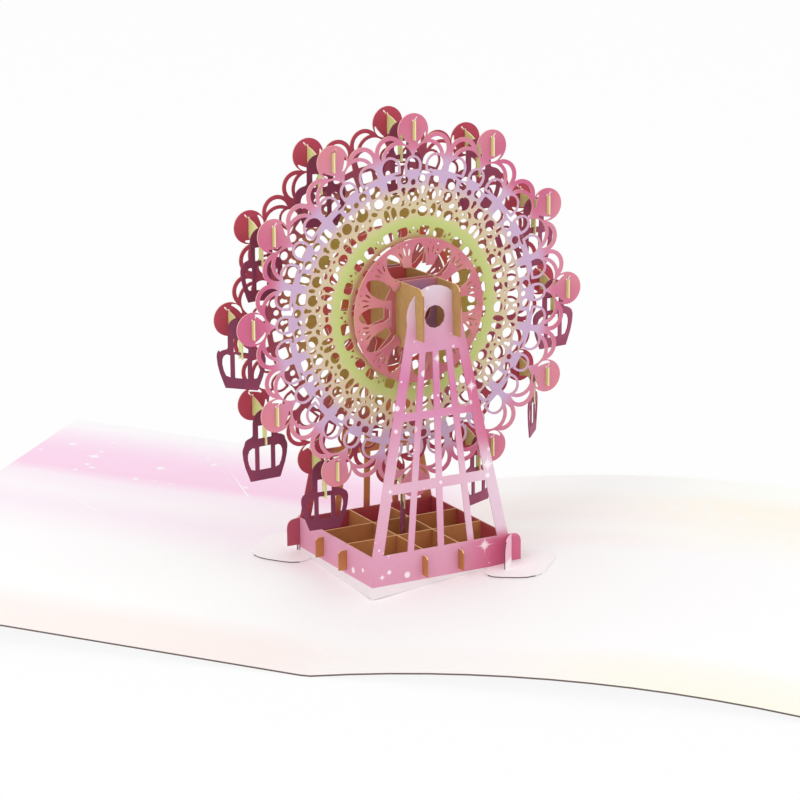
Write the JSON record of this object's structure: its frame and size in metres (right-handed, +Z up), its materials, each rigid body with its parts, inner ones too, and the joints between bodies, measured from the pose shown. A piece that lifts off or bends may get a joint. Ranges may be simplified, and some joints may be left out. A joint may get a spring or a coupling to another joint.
{
  "type": "pop up card",
  "caption": "Opened folded card with a standing paper fairground wheel of cut lace discs, hanging gondolas, towers and a gridded box.",
  "frame": {"origin": "middle of the card's crease, on the surface that the card lies on", "axes": "+Z up, the fold along Y with its front end at -Y, the leaves reach out along -X and +X"},
  "size_m": [0.3001, 0.2, 0.1443],
  "materials": {
    "card": "matte",
    "left_anchor": "matte",
    "right_anchor": "matte",
    "front_tower": "matte",
    "rear_tower": "matte",
    "kraft": "matte",
    "wheel_disc_front": "matte",
    "wheel_disc_rear": "matte",
    "hub_disc_front": "matte",
    "hub_disc_rear": "matte",
    "hanger": "matte",
    "gondola": "matte"
  },
  "bodies": {
    "root": {"card": "card", "left_anchor": "left_anchor", "right_anchor": "right_anchor", "front_tower": "front_tower", "rear_tower": "rear_tower", "hub_plate_left": "kraft", "hub_plate_right": "kraft", "wheel_disc_front": "wheel_disc_front", "wheel_disc_rear": "wheel_disc_rear", "hub_disc_front": "hub_disc_front", "hub_disc_rear": "hub_disc_rear", "cross_divider_front": "kraft", "cross_divider_rear": "kraft", "side_divider_left": "kraft", "side_divider_right": "kraft", "hanger_01": "hanger", "hanger_02": "hanger", "hanger_03": "hanger", "hanger_04": "hanger", "hanger_05": "hanger", "hanger_06": "hanger", "hanger_07": "hanger", "hanger_08": "hanger", "hanger_09": "hanger", "hanger_10": "hanger", "hanger_11": "hanger", "hanger_12": "hanger", "gondola_01": "gondola", "gondola_02": "gondola", "gondola_03": "gondola", "gondola_04": "gondola", "gondola_05": "gondola", "gondola_06": "gondola", "gondola_07": "gondola", "gondola_08": "gondola", "gondola_09": "gondola", "gondola_10": "gondola", "gondola_11": "gondola", "gondola_12": "gondola"}
  },
  "joints": []
}
